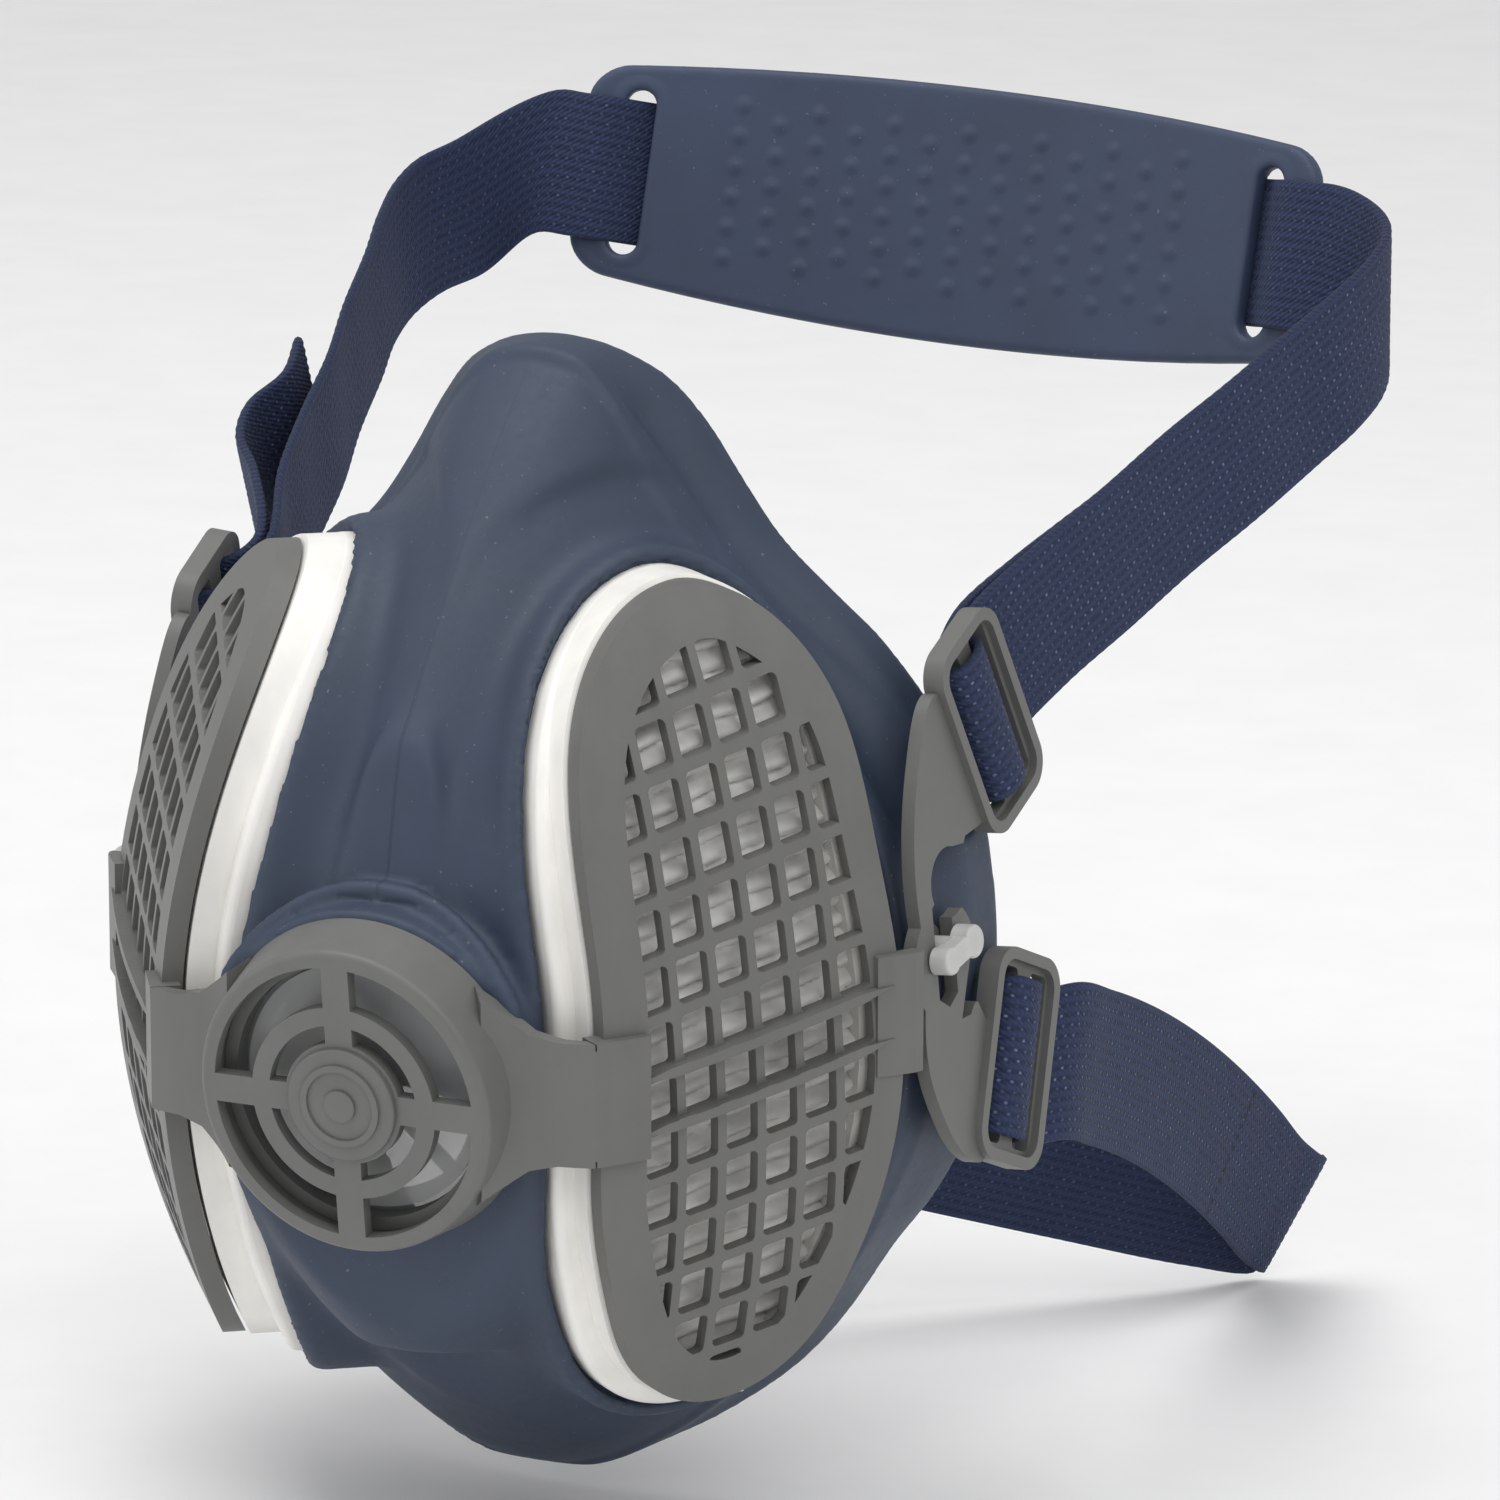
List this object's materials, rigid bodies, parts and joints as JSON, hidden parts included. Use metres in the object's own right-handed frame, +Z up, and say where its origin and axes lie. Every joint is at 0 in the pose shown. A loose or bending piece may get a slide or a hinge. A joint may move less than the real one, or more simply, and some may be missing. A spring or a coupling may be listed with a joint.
{
  "type": "half-mask respirator",
  "caption": "Half-mask respirator with swing-open filter covers, a central exhalation valve and an elastic head and neck harness.",
  "frame": {"origin": "centre of the face opening, on the plane through the nose top and the chin", "axes": "+Y towards the wearer, +Z up, +X to the right of someone who looks at the front of the mask"},
  "size_m": [0.1438, 0.1934, 0.1613],
  "materials": {
    "face_rubber": "matte",
    "pad_rubber": "matte",
    "white_plastic": "satin",
    "filter_medium": "matte",
    "milky_plastic": "satin",
    "webbing": "matte",
    "silicone": "satin",
    "clear_plastic": "gloss",
    "grey_plastic": "satin"
  },
  "bodies": {
    "mask": {"face_piece": "face_rubber", "front_frame": "grey_plastic", "valve_hub_disc": "grey_plastic", "exhalation_valve_seat": "clear_plastic", "exhalation_valve_ring": "grey_plastic", "right_port_seat": "grey_plastic", "left_port_seat": "grey_plastic", "right_filter_frame": "white_plastic", "left_filter_frame": "white_plastic", "right_filter_media": "filter_medium", "left_filter_media": "filter_medium", "right_hinge_web": "grey_plastic", "left_hinge_web": "grey_plastic", "right_yoke": "grey_plastic", "left_yoke": "grey_plastic", "right_stud_socket": "grey_plastic", "left_stud_socket": "grey_plastic", "right_upper_strap_wrap": "webbing", "left_upper_strap_wrap": "webbing", "right_neck_strap_wrap": "webbing", "left_neck_strap_wrap": "webbing"},
    "right_cover": {"right_filter_cover": "grey_plastic"},
    "left_cover": {"left_filter_cover": "grey_plastic"},
    "right_latch": {"right_latch_stud": "milky_plastic"},
    "left_latch": {"left_latch_stud": "milky_plastic"},
    "exhalation_flap": {"exhalation_valve_flap": "silicone"},
    "right_inhalation": {"right_inhalation_flap": "silicone"},
    "left_inhalation": {"left_inhalation_flap": "silicone"},
    "upper_harness": {"right_upper_strap": "webbing", "left_upper_strap": "webbing", "right_upper_strap_end": "webbing", "left_upper_strap_end": "webbing", "right_upper_strap_tail": "webbing", "left_upper_strap_tail": "webbing", "upper_strap_back": "webbing", "head_pad": "pad_rubber"},
    "neck_harness": {"right_neck_strap": "webbing", "left_neck_strap": "webbing", "right_neck_strap_end": "webbing", "left_neck_strap_end": "webbing", "neck_strap_fold": "webbing"}
  },
  "joints": [
    {"name": "right_cover_hinge", "type": "hinge", "parent": "mask", "child": "right_cover", "pos_m": [0.03003, -0.04815, -0.009], "axis": [0, 0, -1], "range_deg": [0, 85], "deforming": ["right_hinge_web"]},
    {"name": "right_latch_turn", "type": "hinge", "parent": "mask", "child": "right_latch", "pos_m": [0.05534, -0.00282, 0.00194], "axis": [0.9893, -0.0994, 0.1065], "range_deg": [0, 90]},
    {"name": "right_inhalation_lift", "type": "slide", "parent": "mask", "child": "right_inhalation", "axis": [-0.8, 0.6, 0], "range_m": [0, 0.0012], "stiffness_N_per_m": 8},
    {"name": "left_cover_hinge", "type": "hinge", "parent": "mask", "child": "left_cover", "pos_m": [-0.03003, -0.04815, -0.009], "axis": [0, 0, 1], "range_deg": [0, 85], "deforming": ["left_hinge_web"]},
    {"name": "left_latch_turn", "type": "hinge", "parent": "mask", "child": "left_latch", "pos_m": [-0.05534, -0.00282, 0.00194], "axis": [-0.9893, -0.0994, 0.1065], "range_deg": [0, 90]},
    {"name": "left_inhalation_lift", "type": "slide", "parent": "mask", "child": "left_inhalation", "axis": [0.8, 0.6, 0], "range_m": [0, 0.0012], "stiffness_N_per_m": 8},
    {"name": "exhalation_lift", "type": "slide", "parent": "mask", "child": "exhalation_flap", "axis": [0, -0.9925, -0.1219], "range_m": [0, 0.0012], "stiffness_N_per_m": 8},
    {"name": "upper_harness_swing", "type": "hinge", "parent": "mask", "child": "upper_harness", "pos_m": [0, 0.0119, 0.0273], "axis": [1, 0, 0], "range_deg": [-18, 25], "deforming": ["right_upper_strap_end", "left_upper_strap_end"]},
    {"name": "neck_strap_swing", "type": "hinge", "parent": "mask", "child": "neck_harness", "pos_m": [0, 0.0115, -0.0151], "axis": [1, 0, 0], "range_deg": [-12, 20], "deforming": ["right_neck_strap_end", "left_neck_strap_end"]}
  ]
}
